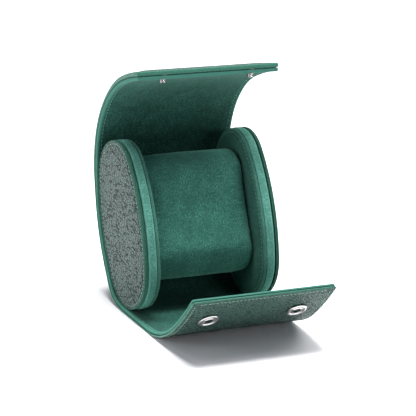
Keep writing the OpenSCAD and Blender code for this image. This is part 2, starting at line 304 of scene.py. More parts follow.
def pebbled(name, top, pit, edge, angle, cell=1.5, rough=(0.36, 0.60), bump=0.0005, stretch=(0.60, 1.12), spec=0.40, even=0.80, rise=0.19):
    """Pebbled leather: rounded pebbles in slanting rows, parted by creases. The tops take a lighter, greyer colour as a
    painted highlight and the creases a dark one as painted shade, over the grain's own tone.
    """
    m = Nodes(name)
    uv = m.grain()
    warp = m.noise(uv, 22.0, 2.0, 0.5)
    off = m.new("ShaderNodeVectorMath", operation="MULTIPLY_ADD")
    m.link(warp.outputs["Color"], off.inputs[0])
    off.inputs[1].default_value = (0.016, 0.016, 0.0)
    m.link(uv, off.inputs[2])
    slant = m.new("ShaderNodeMapping", vector_type="POINT")
    slant.inputs["Rotation"].default_value = (0, 0, rad(angle))
    m.link(off.outputs[0], slant.inputs["Vector"])
    turn = m.new("ShaderNodeMapping", vector_type="POINT")
    turn.inputs["Scale"].default_value = (stretch[0], stretch[1], 1.0)
    m.link(slant.outputs[0], turn.inputs["Vector"])
    cells = m.new("ShaderNodeTexVoronoi", feature="DISTANCE_TO_EDGE")
    cells.inputs["Scale"].default_value = 100.0 / cell
    cells.inputs["Randomness"].default_value = even
    m.link(turn.outputs[0], cells.inputs["Vector"])
    small = m.new("ShaderNodeTexVoronoi", feature="DISTANCE_TO_EDGE")
    small.inputs["Scale"].default_value = 100.0 / cell * 2.1
    small.inputs["Randomness"].default_value = 1.0
    m.link(turn.outputs[0], small.inputs["Vector"])
    wear_and_light = m.attr("wear_and_light")
    flat = m.ramp(wear_and_light, 0.15, 0.55, 1.0, 0.12)             # turned edges are pressed smooth
    dome = m.ramp(cells.outputs["Distance"], 0.01, rise)
    fine = m.ramp(small.outputs["Distance"], 0.0, 0.22)
    patch = m.noise(uv, 14.0, 3.0, 0.55)
    pore = m.noise(uv, 700.0, 2.0, 0.6)
    h = m.math("MULTIPLY_ADD", fine, 0.08, m.math("MULTIPLY", dome, 0.92))
    h = m.math("MULTIPLY", h, m.ramp(patch.outputs["Fac"], 0.3, 0.7, 0.92, 1.04))
    h = m.math("MULTIPLY_ADD", pore.outputs["Fac"], 0.04, h)
    # painted highlight on the pebble tops and painted shade in the creases, over the grain's own tone
    tone = m.mix(m.ramp(h, 0.12, 0.80), pit, top)
    cloud = m.ramp(m.noise(uv, 5.0, 4.0, 0.6).outputs["Fac"], 0.3, 0.7, 0.0, 1.0)
    tone = m.mix(m.math("MULTIPLY", cloud, 0.12), tone, tuple(c * 1.35 for c in top))
    # the edge colour is the leather's own edge finish, and on the caps' discs it is also painted light on the shaded
    # side band
    tone = m.mix(m.math("MULTIPLY", wear_and_light, 0.9, clamp=True), tone, edge)
    m.link(tone, m.bsdf.inputs["Base Color"])
    r = m.ramp(h, 0.2, 1.0, rough[1], rough[0])
    m.link(r, m.bsdf.inputs["Roughness"])
    m.link(m.bump(m.math("MULTIPLY", h, flat), 1.0, bump), m.bsdf.inputs["Normal"])
    m.set(Specular_IOR_Level=spec)
    return m.mat


def suede(name, dark, mid, light, sheen=0.55, grain=1.0):
    """Suede: a short nap, brushed one way here and another way there."""
    m = Nodes(name)
    uv = m.grain()
    nap = m.noise(uv, 9.0, 5.0, 0.62, 0.6)
    strokes = m.new("ShaderNodeMapping", vector_type="POINT")
    strokes.inputs["Scale"].default_value = (1.0, 0.45, 1.0)
    strokes.inputs["Rotation"].default_value = (0, 0, rad(12))
    m.link(uv, strokes.inputs["Vector"])
    brush = m.noise(strokes.outputs[0], 60.0, 3.0, 0.6, 0.3)
    fibre = m.noise(uv, 120.0 * grain, 4.0, 0.75)
    fuzz = m.noise(uv, 900.0, 2.0, 0.7)
    f = m.math("MULTIPLY_ADD", m.ramp(nap.outputs["Fac"], 0.25, 0.75), 0.22, 0.0)
    f = m.math("MULTIPLY_ADD", m.ramp(brush.outputs["Fac"], 0.25, 0.75), 0.20, f)
    f = m.math("MULTIPLY_ADD", m.ramp(fibre.outputs["Fac"], 0.32, 0.68), 0.58, f)
    wear_and_light = m.attr("wear_and_light")
    tone = m.mix(m.ramp(f, 0.15, 0.85), dark, mid)
    tone = m.mix(m.math("MULTIPLY", m.ramp(f, 0.55, 1.0), 0.6), tone, light)
    # edges and hems are painted lighter here, a painted sheen where the nap catches the light
    tone = m.mix(m.math("MULTIPLY", wear_and_light, 0.6, clamp=True), tone, light)
    m.link(tone, m.bsdf.inputs["Base Color"])
    h = m.math("MULTIPLY_ADD", fuzz.outputs["Fac"], 0.45, m.math("MULTIPLY", fibre.outputs["Fac"], 0.75))
    m.link(m.bump(h, 0.5, 0.00025), m.bsdf.inputs["Normal"])
    m.set(Roughness=0.95, Specular_IOR_Level=0.12, Sheen_Weight=sheen, Sheen_Roughness=0.45)
    m.bsdf.inputs["Sheen Tint"].default_value = (*[min(1.0, c * 2.6 + 0.12) for c in mid], 1.0)
    return m.mat


def thread(name, colour):
    m = Nodes(name)
    tex = m.new("ShaderNodeTexCoord")
    wave = m.new("ShaderNodeTexWave", wave_type="BANDS", bands_direction="DIAGONAL")
    wave.inputs["Scale"].default_value = 900.0
    wave.inputs["Distortion"].default_value = 1.0
    m.link(tex.outputs["Object"], wave.inputs["Vector"])
    tone = m.mix(wave.outputs["Fac"], tuple(c * 0.62 for c in colour), colour)
    m.link(tone, m.bsdf.inputs["Base Color"])
    m.link(m.bump(wave.outputs["Fac"], 0.5, 0.0001), m.bsdf.inputs["Normal"])
    m.set(Roughness=0.5, Specular_IOR_Level=0.4, Sheen_Weight=0.3)
    return m.mat


def metal(name, colour, rough, scratch=0.08):
    m = Nodes(name)
    tex = m.new("ShaderNodeTexCoord")
    n1 = m.noise(tex.outputs["Object"], 900.0, 4.0, 0.7)
    n2 = m.noise(tex.outputs["Object"], 160.0, 3.0, 0.6)
    m.link(m.ramp(n2.outputs["Fac"], 0.3, 0.75, rough, rough + scratch), m.bsdf.inputs["Roughness"])
    m.link(m.mix(m.ramp(n2.outputs["Fac"], 0.35, 0.75), colour, tuple(c * 0.86 for c in colour)), m.bsdf.inputs["Base Color"])
    m.link(m.bump(n1.outputs["Fac"], 0.12, 0.00004), m.bsdf.inputs["Normal"])
    m.set(Metallic=1.0)
    return m.mat


def board_mat(name, a, b, scale=300.0):
    m = Nodes(name)
    tex = m.new("ShaderNodeTexCoord")
    n1 = m.noise(tex.outputs["Object"], scale, 5.0, 0.65)
    m.link(m.mix(n1.outputs["Fac"], a, b), m.bsdf.inputs["Base Color"])
    m.link(m.bump(n1.outputs["Fac"], 0.4, 0.0002), m.bsdf.inputs["Normal"])
    m.set(Roughness=0.9, Specular_IOR_Level=0.2)
    return m.mat


LEATHER = pebbled("leather_pebbled", srgb(58, 90, 80), srgb(16, 48, 39), srgb(48, 114, 93), -47, cell=1.25, stretch=(0.64, 1.10), bump=0.0004, spec=0.34)
# the caps' leather is a copy of the same leather, with a lighter, greyer top as a painted reflection and near-black
# creases as painted shade
LEATHER_CAP_PAINTED_LIGHT = pebbled("leather_pebbled_cap_painted_light", srgb(80, 105, 98), srgb(4, 24, 18), srgb(44, 98, 81), -38, cell=1.35, stretch=(0.56, 1.10), bump=0.0006, spec=0.26, even=0.62, rise=0.17)
# The four suedes are copies of one suede, each made lighter or darker to paint the light its part gets: the lining is
# darkest, as painted shade; the cap panels are lighter, the pillow lighter still and the rim lightest, as painted
# light.
SUEDE_LINING_SHADED = suede("suede_lining", srgb(20, 52, 44), srgb(38, 82, 71), srgb(72, 130, 115))
SUEDE_CAP_LIT = suede("suede_cap", srgb(37, 77, 67), srgb(57, 103, 91), srgb(83, 137, 122))
SUEDE_RIM_LIT = suede("suede_rim_painted_light", srgb(58, 110, 97), srgb(86, 144, 129), srgb(116, 178, 162))
SUEDE_PILLOW_LIT = suede("suede_pillow", srgb(42, 90, 78), srgb(65, 122, 108), srgb(94, 156, 140))
THREAD = thread("thread_outer", srgb(150, 190, 172))
THREAD_IN = thread("thread_inner", srgb(86, 150, 128))
CHROME = metal("snap_plating", (0.66, 0.64, 0.62), 0.20)
STEEL = metal("spring_steel", (0.45, 0.45, 0.47), 0.3)
BRASS = metal("hidden_brass", (0.62, 0.50, 0.28), 0.35)
CORE = board_mat("board_core", srgb(24, 34, 30), srgb(44, 58, 52))
FOAM = board_mat("foam_core", srgb(196, 194, 182), srgb(228, 226, 216), 500.0)

# --------------------------------------------------------------------------
# The wrap: leather, board and lining, each in strips cut midway between the fold lines
# --------------------------------------------------------------------------
EDGE_STEPS = np.array([0, 0.05, 0.14, 0.28, 0.45, 0.65, 0.9, 1.2, 1.5, 1.8, 2.05, 2.25, 2.4, 2.55, 2.7, 2.85,
                       3.05, 3.3, 3.7, 4.3, 5.2, 6.5, 8.2, 10.3, 11.9, 12.5, 13.1, 13.7, 14.4, 15.05, 15.7, 16.35,
                       17.0, 17.7, 18.3, 18.9, 20.0, 24.0, 28.2, 32.5, 36.8, 41.0])
STITCH_E, PITCH = 2.5, 2.2
LINING_IN = 0.2                                  # the lining stops this far inside the leather's edge


def edge_round(e, r):
    """How far a face drops at distance e from an edge rounded to radius r."""
    k = np.clip(e / r, 0, 1)
    return r * (1 - np.sqrt(np.clip(1 - (1 - k) ** 2, 0, 1)))


def channel(e, at, depth, width):
    return depth * np.exp(-((e - at) / width) ** 2)


def half_width(S, inset, tip=S_TIP, end=S_END, r=1.6):
    """Half the sheet's width, drawn in at the rounded corners of its free ends."""
    d = np.minimum(S - (tip + inset), (end - inset) - S)
    k = np.clip(1 - d / r, 0, 1)
    return WRAP_W / 2 - inset - r * (1 - np.sqrt(np.clip(1 - k ** 2, 0, 1)))


def ease(k):
    k = np.clip(k, 0, 1)
    return k * k * (3 - 2 * k)


def draw_in(S, side):
    """The lid's right edge is drawn in a little where the sheet bends most."""
    S, side = np.asarray(S, float), np.asarray(side, float)
    return np.where(side > 0, 1.8, 0.0) * ease((S - S_LID - 2) / 22) * ease((S_END - 8 - S) / 24)


def rows_for(S0, S1, inset, step=0.55):
    """Arc lengths of a strip's rows: even, and dense at a free edge."""
    lo, hi = max(S0, S_TIP + inset), min(S1, S_END - inset)
    n = max(2, int(math.ceil((hi - lo) / step)))
    rows = list(np.linspace(lo, hi, n + 1))
    near = EDGE_STEPS[EDGE_STEPS < 4.0]
    if lo == S_TIP + inset:
        rows = [r for r in rows if r > lo + 4.0] + list(lo + near)
    if hi == S_END - inset:
        rows = [r for r in rows if r < hi - 4.0] + list(hi - near)
    return np.array(sorted(set(np.round(rows, 6))))


_noise_cache = {}


def wave_noise(S, X, scale, seed):
    """Low noise over the sheet that is the same for every strip."""
    key = (scale, seed)
    if key not in _noise_cache:
        gs = np.arange(S_TIP - 4, S_END + 6, 2.0)
        gx = np.arange(-44, 46, 2.0)
        G = noise2(*np.meshgrid(gs, gx, indexing="ij"), scale, seed)
        _noise_cache[key] = (gs, gx, G)
    gs, gx, G = _noise_cache[key]
    a = np.clip((S - gs[0]) / 2.0, 0, len(gs) - 1.001)
    b = np.clip((X - gx[0]) / 2.0, 0, len(gx) - 1.001)
    i, j = a.astype(int), b.astype(int)
    fa, fb = a - i, b - j
    fa, fb = fa * fa * (3 - 2 * fa), fb * fb * (3 - 2 * fb)
    return (G[i, j] * (1 - fa) * (1 - fb) + G[i + 1, j] * fa * (1 - fb)
            + G[i, j + 1] * (1 - fa) * fb + G[i + 1, j + 1] * fa * fb)


def sheet_grid(S0, S1, inset):
    rows = rows_for(S0, S1, inset)
    e = np.concatenate([EDGE_STEPS, EDGE_STEPS[-2::-1]])[None, :]
    side = np.concatenate([-np.ones(len(EDGE_STEPS)), np.ones(len(EDGE_STEPS) - 1)])[None, :]
    hw = half_width(rows, inset)[:, None] - draw_in(rows[:, None], side)
    X = np.where(e < 12, side * (hw - e), side * (hw - 12) * (41 - e) / 29.0)
    S = rows[:, None] * np.ones_like(X)
    ES = np.minimum(S - (S_TIP + inset), (S_END - inset) - S)
    EX = hw - np.abs(X)
    return rows, S, X, EX, np.maximum(ES, 0), np.minimum(EX, np.maximum(ES, 0))


def strip_piece(name, S0, S1, inset, t_out, t_in, mat, wear_and_light, sharp_ends=True):
    """A closed strip of the sheet. t_out and t_in give the two faces' offsets."""
    rows, S, X, EX, ES, E = sheet_grid(S0, S1, inset)
    to, ti = t_out(S, X, EX, ES, E), t_in(S, X, EX, ES, E)
    yo, zo = wrap_at(S, to)
    yi, zi = wrap_at(S, ti)
    outer, inner = np.stack([X, yo, zo], -1), np.stack([X, yi, zi], -1)
    verts, A, B = grid_solid(outer, inner)
    C = A.shape[1]
    faces, fuv = [], []
    rise = np.abs(np.diff(to, axis=1))
    U = X + np.sign(X) * 0.0
    uvo = np.stack([U, S], -1).reshape(-1, 2)
    uvi = np.stack([U + np.sign(X + 1e-9) * 0.0, S], -1).reshape(-1, 2) + [0, 300.0]
    uv = np.concatenate([uvo, uvi])

    def add(q, shift=None):
        faces.append(q)
        fuv.append(uv[q.reshape(-1)] if shift is None else shift)

    add(quads(A, flip=False))
    add(quads(B, flip=True))
    # side edges and ends, whose grain runs on from the outer face
    for col, flip in ((0, False), (C - 1, True)):
        q = np.stack([A[:-1, col], A[1:, col], B[1:, col], B[:-1, col]], -1)
        s = np.sign(X[0, col])
        u = []
        for k in range(len(q)):
            r0, r1 = k, k + 1
            th0, th1 = to[r0, col] - ti[r0, col], to[r1, col] - ti[r1, col]
            u += [[X[r0, col], S[r0, col]], [X[r1, col], S[r1, col]],
                  [X[r1, col] + s * th1, S[r1, col]], [X[r0, col] + s * th0, S[r0, col]]]
        u = np.array(u).reshape(-1, 4, 2)
        if flip:
            q, u = q[:, ::-1], u[:, ::-1]
        add(q, u.reshape(-1, 2))
    for row, flip in ((0, True), (A.shape[0] - 1, False)):
        q = np.stack([A[row, :-1], A[row, 1:], B[row, 1:], B[row, :-1]], -1)
        s = -1.0 if row == 0 else 1.0
        th = to[row] - ti[row]
        u = np.stack([np.stack([X[row, :-1], S[row, :-1]], -1), np.stack([X[row, 1:], S[row, 1:]], -1),
                      np.stack([X[row, 1:], S[row, 1:] + s * th[1:]], -1),
                      np.stack([X[row, :-1], S[row, :-1] + s * th[:-1]], -1)], 1)
        if flip is False:
            q, u = q[:, ::-1], u[:, ::-1]
        add(q, u.reshape(-1, 2))
    allf = np.concatenate(faces)
    allu = np.concatenate(fuv)
    w = wear_and_light(S, X, EX, ES, E)
    ob = make(name, verts, allf, mat, face_uv=allu, attrs={"wear_and_light": np.concatenate([w.ravel(), w.ravel()])})
    if sharp_ends:
        ends = []
        free_lo, free_hi = S0 <= S_TIP + inset, S1 >= S_END - inset
        for row, free in ((0, free_lo), (A.shape[0] - 1, free_hi)):
            if not free:
                for G in (A, B):
                    ends += [tuple(sorted((int(G[row, k]), int(G[row, k + 1])))) for k in range(C - 1)]
                ends += [tuple(sorted((int(A[row, c]), int(B[row, c])))) for c in (0, C - 1)]
        want = set(ends)
        if want:
            for e in ob.data.edges:
                if tuple(sorted(e.vertices)) in want:
                    e.use_edge_sharp = True
    return ob


def pucker(S, EX, ES):
    """Small dips where the needle went through, along the stitch lines."""
    ph = np.cos(2 * math.pi * S / PITCH)
    return channel(EX, STITCH_E, 1.0, 0.45) * (0.5 + 0.5 * ph) * 0.07


def round_socket(S, X):
    """Distance from the nearest socket's middle, on the leather."""
    return np.minimum(np.hypot(S - (S_TIP + SOCKET_EDGE), X - SNAP_X), np.hypot(S - (S_TIP + SOCKET_EDGE), X + SNAP_X))


def edge_full(S):
    """How much thicker than the flat sheet the wrap's edge is, up the back and round the lid."""
    return 1.05 * ease((S - S_LID + 8) / 18) + 0.6 * ease((S - S_LID - 48) / 20)


def swell(S):
    """The wrap is fuller still away from its edges, and flat where it stands."""
    return 0.40 * ease((S - 34) / 40) + 0.45 * ease((S - S_LID - 40) / 30)


def split(S):
    """Offset of the dark gap between the leather's turned edge and the lining's."""
    return 1.5 + 0.3 * edge_full(S)


def gap(S):
    """Half the width of that gap, wider at the flap's free end."""
    return 0.13 + 0.12 * ease((-S - 55) / 20)


def leather_out(S, X, EX, ES, E):
    t = THICK - edge_round(E, 0.42) + edge_full(S) + swell(S) * np.clip(E / 8, 0, 1)
    t = t + 0.10 * np.sin(np.clip(E / STITCH_E, 0, 1) * math.pi) - channel(E, STITCH_E, 0.16, 0.34)
    t = t - pucker(S, EX, ES)
    t = t + 0.07 * wave_noise(S, X, 17.0, 3.0) * np.clip(E / 4, 0, 1)
    r = round_socket(S, X)
    t = t - 0.10 * np.exp(-((r - 5.2) / 1.1) ** 2) * (S < -40)
    seat = ease((3.7 - r) / 0.7) * (S < -40)       # cut away under a socket's hole, where a stud comes in
    return t * (1 - seat) + (THICK - LEATHER_T + 0.08) * seat


def near_edge(E, at=1.7, over=0.5):
    return ease((at - E) / over)


def leather_in(S, X, EX, ES, E):
    inside = THICK - LEATHER_T + 0.02
    return inside + (split(S) + gap(S) - inside) * near_edge(E) + edge_round(E, 0.28)


def lining_in(S, X, EX, ES, E):
    """The suede's shown face: a rolled hem at the edges, then a seam channel."""
    hem_s = np.where(S > S_LID + 40, 2.2, STITCH_E)
    d = np.minimum(EX, ES * STITCH_E / hem_s)
    t = edge_round(np.minimum(EX, ES), 0.62)
    t = t - 0.22 * np.sin(np.clip(d / STITCH_E, 0, 1) * math.pi) * (d < STITCH_E)
    t = t + channel(d, STITCH_E + 0.05, 0.22, 0.34)
    t = t + pucker(S, EX, ES) * 0.8
    soft = 0.10 * wave_noise(S, X, 15.0, 9.0) + 0.05 * wave_noise(S, X, 6.0, 21.0)
    t = t + soft * np.clip((d - 2.6) / 4, 0, 1)
    return t


def lining_out(S, X, EX, ES, E):
    return LINING_T - 0.02 + (split(S) - gap(S) - LINING_T + 0.02) * near_edge(E, 1.15) - edge_round(E, 0.45)


def board_out(S, X, EX, ES, E):
    return THICK - LEATHER_T + 0.0 * S


def board_in(S, X, EX, ES, E):
    return LINING_T + 0.0 * S


def wear_leather(S, X, EX, ES, E):
    return 0.85 * np.exp(-(E / 0.5) ** 2) + 0.12 * np.exp(-((E - 1.3) / 0.6) ** 2)


# painted sheen: the lining's edge and hem are made lighter where the nap catches the light
def lining_edge_sheen(S, X, EX, ES, E):
    return 0.9 * np.exp(-(E / 0.9) ** 2) + 0.30 * (E < STITCH_E)


# (suffix, from, to, body a, body b, blend from, blend to); a strip with one body rides on it
mid_lid = [S_LID + (a + b) / 2 for a, b in zip(LID_CUTS[:-1], LID_CUTS[1:])]
mid_flap = [-(a + b) / 2 for a, b in zip(FLAP_CUTS[:-1], FLAP_CUTS[1:])]
LID_BLEND0 = S_LID + 0.5
FLAP_BLEND0 = 5.5
STRIPS = [
    ("flap_3", S_TIP, mid_flap[1], "flap_panel_2", "flap_panel_3", mid_flap[1], -27.5),
    ("flap_2", mid_flap[1], mid_flap[0], "flap_panel_1", "flap_panel_2", mid_flap[0], mid_flap[1]),
    ("flap_1", mid_flap[0], FLAP_BLEND0, "case_back", "flap_panel_1", FLAP_BLEND0, mid_flap[0]),
    ("back", FLAP_BLEND0, LID_BLEND0, "case_back", None, 0, 0),
    ("lid_1", LID_BLEND0, mid_lid[0], "case_back", "lid_panel_1", LID_BLEND0, mid_lid[0]),
    ("lid_2", mid_lid[0], mid_lid[1], "lid_panel_1", "lid_panel_2", mid_lid[0], mid_lid[1]),
    ("lid_3", mid_lid[1], mid_lid[2], "lid_panel_2", "lid_panel_3", mid_lid[1], mid_lid[2]),
    ("lid_4", mid_lid[2], S_END, "lid_panel_3", "lid_panel_4", mid_lid[2], S_LID + 57.75),
]
REPLACED = {"flap_3": "flap_%s_3", "flap_2": "flap_%s_2", "flap_1": "flap_%s_1", "back": "back_%s",
            "lid_1": "lid_%s_1", "lid_2": "lid_%s_2", "lid_3": "lid_%s_3", "lid_4": "lid_%s_4"}


def place(ob, strip):
    """Ride a strip's piece on its body; a piece between two bodies only has its transform baked into its mesh."""
    _, _, _, a, b, s0, s1 = strip
    if b is None:
        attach(ob, a)
        return
    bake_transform(ob)


for strip in STRIPS:
    tag, S0, S1 = strip[:3]
    for layer, inset, fo, fi, mat, wear_and_light in (
        ("leather", 0.0, leather_out, leather_in, LEATHER, wear_leather),
        ("board", 1.75, board_out, board_in, CORE, wear_leather),
        ("lining", LINING_IN, lining_out, lining_in, SUEDE_LINING_SHADED, lining_edge_sheen),
    ):
        ob = strip_piece("wrap_%s_%s" % (layer, tag), S0, S1, inset, fo, fi, mat, wear_and_light)
        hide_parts(REPLACED[tag] % layer)
        place(ob, strip)


# --------------------------------------------------------------------------
# Stitches
# --------------------------------------------------------------------------
def stitch_mesh(name, places, mat, length=1.62, width=0.42, high=0.34):
    """Rows of short threads. Each place is (middle, along, up), in millimetres."""
    rings, around = [(-0.5, 0.10), (-0.44, 0.55), (-0.28, 0.92), (0.0, 1.0), (0.28, 0.92), (0.44, 0.55), (0.5, 0.10)], 8
    verts, faces = [], []
    for c, t, n in places:
        c, t, n = np.array(c, float), np.array(t, float), np.array(n, float)
        t = t / np.linalg.norm(t)
        n = n - t * (n @ t)
        n = n / np.linalg.norm(n)
        b = np.cross(t, n)
        base = len(verts)
        for f, r in rings:
            dip = -0.16 * (abs(f) * 2) ** 3
            for k in range(around):
                a = 2 * math.pi * k / around
                verts.append(c + t * f * length + b * math.cos(a) * r * width / 2 + n * (math.sin(a) * r * high / 2 + dip))
        for i in range(len(rings) - 1):
            for k in range(around):
                k2 = (k + 1) % around
                faces.append((base + i * around + k, base + i * around + k2, base + (i + 1) * around + k2, base + (i + 1) * around + k))
        faces.append(tuple(base + k for k in range(around))[::-1])
        faces.append(tuple(base + (len(rings) - 1) * around + k for k in range(around)))
    v = np.array(verts)
    return make(name, v, faces, mat, uv=v[:, :2])


def frame_at(S, t):
    y, z = wrap_at(S, t)
    h = rad(float(heading(S)))
    return (float(y), float(z)), (0.0, math.cos(h), math.sin(h)), (0.0, math.sin(h), -math.cos(h))


def stitch_t(S, out):
    """Offset at which a thread lies in its channel."""
    if not out:
        return 0.10
    z = np.array([float(S)])
    return float(leather_out(z, z * 0, z * 0 + STITCH_E, z * 0 + 9.0, z * 0 + STITCH_E)[0]) + 0.13


def side_places(S0, S1, inset, out):
    """Stitches along both side edges of a strip, on the outer or the inner face."""
    lo, hi = S_TIP + STITCH_E + 0.3, S_END - STITCH_E - 0.3
    places = []
    k0, k1 = math.ceil((max(S0, lo)) / PITCH - 0.5), math.floor(min(S1, hi) / PITCH - 0.5)
    for k in range(k0, k1 + 1):
        S = (k + 0.5) * PITCH
        if not (S0 <= S < S1):
            continue
        (y, z), t, n = frame_at(S, stitch_t(S, out))
        if not out:
            n = tuple(-c for c in n)
        for s in (-1, 1):
            places.append(((s * (WRAP_W / 2 - inset - STITCH_E - float(draw_in(S, s))), y, z), t, n))
    return places


def across_places(S, inset, out, half=41.0 - 2.5 - 1.2):
    (y, z), t, n = frame_at(S, stitch_t(S, out))
    if not out:
        n = tuple(-c for c in n)
    count = int(2 * half / PITCH)
    xs = (np.arange(count) - (count - 1) / 2) * PITCH
    return [((float(x), y, z), (1.0, 0.0, 0.0), n) for x in xs]


for strip in STRIPS:
    tag, S0, S1 = strip[:3]
    for out, mat, layer in ((True, THREAD, "leather"), (False, THREAD_IN, "lining")):
        inset = 0.0 if out else LINING_IN
        places = side_places(S0, S1, inset, out)
        if tag == "flap_3":
            places += across_places(S_TIP + inset + STITCH_E, inset, out)
        if tag == "lid_4":
            places += across_places(S_END - inset - (STITCH_E if out else 2.2), inset, out)
        ob = stitch_mesh("stitches_%s_%s" % (layer, tag), places, mat)
        place(ob, strip)


# --------------------------------------------------------------------------
# End caps
# --------------------------------------------------------------------------
def half_oval(c, n_side=13, n_end=26):
    """Centre, radius and direction of each point of one half, from +v over the end to -v.
    The end's arc, centred at c, runs smoothly into both side arcs."""
    r = CAP_RS - math.hypot(CAP_RS - CAP_B, c)
    a = deg(math.asin(c / (CAP_RS - r)))
    q = [(CAP_B - CAP_RS, 0.0, CAP_RS, a * i / n_side) for i in range(n_side)]
    q += [(0.0, c, r, a + (90 - a) * i / n_end) for i in range(n_end + 1)]
    return q + [(-cv, cu, rr, 180 - aa) for cv, cu, rr, aa in q[::-1][1:]]


# Open, the padding stands up at the top, more on the right cap; closed, the lid
# presses it down again to the size of the board behind it.
LIFT = {-1: 1.9, 1: 3.5}
TOP_C = {}
for side, lift in LIFT.items():
    c = CAP_C
    for _ in range(60):
        c += ((CAP_C + CAP_RE + lift) - (c + CAP_RS - math.hypot(CAP_RS - CAP_B, c))) * 0.9
    TOP_C[side] = c
OVALS, OV_DIR, OV_LEN, PERIM = {}, {}, {}, {}
for side in LIFT:
    low = half_oval(CAP_C)
    OVALS[side] = np.array(half_oval(TOP_C[side]) + [(-cv, -cu, r, a + 180) for cv, cu, r, a in low[1:-1]])
    A = np.radians(OVALS[side][:, 3])
    OV_DIR[side] = np.stack([np.cos(A), np.sin(A)], 1)
NO = len(OVALS[1])


def oval(side, d):
    """Points of the oval grown by d; deep inside it shrinks towards its middle."""
    OV = OVALS[side]
    if d >= -9.0:
        return OV[:, :2] + OV_DIR[side] * (OV[:, 2:3] + d)
    base = OV[:, :2] + OV_DIR[side] * (OV[:, 2:3] - 9.0)
    mid = np.array([0.0, LIFT[side] / 2])
    return mid + (base - mid) * max((16.4 + (d + 9.0)) / 16.4, 0.0)


for side in LIFT:
    loop = np.vstack([oval(side, 0), oval(side, 0)[:1]])
    OV_LEN[side] = np.concatenate([[0], np.cumsum(np.linalg.norm(np.diff(loop, axis=0), axis=1))])
    PERIM[side] = OV_LEN[side][-1]


def press(ob):
    """The cap rides on the case, with a mesh of its own."""
    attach(ob, "case_back")
    y, z = lean_yz(0.0, -CAP_C - CAP_RE)
    math.sin(rad(LEAN))
    math.cos(rad(LEAN))
    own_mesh(ob)


def cap_point(side, x, vu):
    """Cap coordinates to the row frame; side -1 mirrors to the left cap."""
    y, z = lean_yz(vu[:, 0], vu[:, 1])
    return np.stack([np.full(len(vu), side * x) if np.isscalar(x) else side * x, y - Y_MID, z], 1)


def ring_piece(name, side, profile, mat, wear_and_light=None, poles=(False, False), lift=None, uv0=0.0, close=False):
    """Sweeps a profile of (d, x) round the oval. A pole closes an end at the middle."""
    prof = np.array(profile, float)
    step = np.linalg.norm(np.diff(prof, axis=0), axis=1)
    arc = np.concatenate([[0], np.cumsum(step)])
    verts, uvs, wear_and_light_vals = [], [], []
    d_uv = prof[0, 0] + uv0
    for i, (d, x) in enumerate(prof):
        vu = oval(side, d)
        xs = np.full(NO, x)
        if lift is not None:
            xs = xs + lift(i, d, x, vu)
        verts.append(cap_point(side, xs, vu))
        grow = prof[0, 0] + arc[i] + uv0
        uvs.append(oval(side, grow) if grow > -9 else vu)
        wear_and_light_vals.append(np.full(NO, wear_and_light(d, x) if wear_and_light else 0.0))
    verts, uvs, wear_and_light_vals = np.concatenate(verts), np.concatenate(uvs), np.concatenate(wear_and_light_vals)
    m = len(prof)
    idx = np.arange(m * NO).reshape(m, NO)
    loop = np.concatenate([idx, idx[:, :1]], 1)
    if close:
        loop = np.concatenate([loop, loop[:1]], 0)
    f = quads(loop, flip=side < 0)
    faces = [tuple(q) for q in f]
    verts, uvs, wear_and_light_vals = list(verts), list(uvs), list(wear_and_light_vals)
    for end, flag in ((0, poles[0]), (m - 1, poles[1])):
        if flag:
            centre = np.mean([verts[i] for i in idx[end]], axis=0)
            verts.append(centre)
            uvs.append(np.array([0.0, 0.0]))
            wear_and_light_vals.append(wear_and_light_vals[idx[end][0]])
            c = len(verts) - 1
            for k in range(NO):
                a, b = int(idx[end][k]), int(idx[end][(k + 1) % NO])
                tri = (c, a, b) if (end == 0) == (side > 0) else (c, b, a)
                faces.append(tri)
    return make(name, np.array(verts), faces, mat, uv=np.array(uvs), attrs={"wear_and_light": np.array(wear_and_light_vals)})


def arc_pts(d0, x0, d1, x1, n, bulge):
    """Points of a shallow bow between two profile points."""
    t = np.linspace(0, 1, n + 1)[1:-1]
    p0, p1 = np.array([d0, x0]), np.array([d1, x1])
    nrm = np.array([(p1 - p0)[1], -(p1 - p0)[0]])
    nrm = nrm / np.linalg.norm(nrm)
    return [tuple(p0 + (p1 - p0) * k + nrm * bulge * math.sin(math.pi * k)) for k in t]


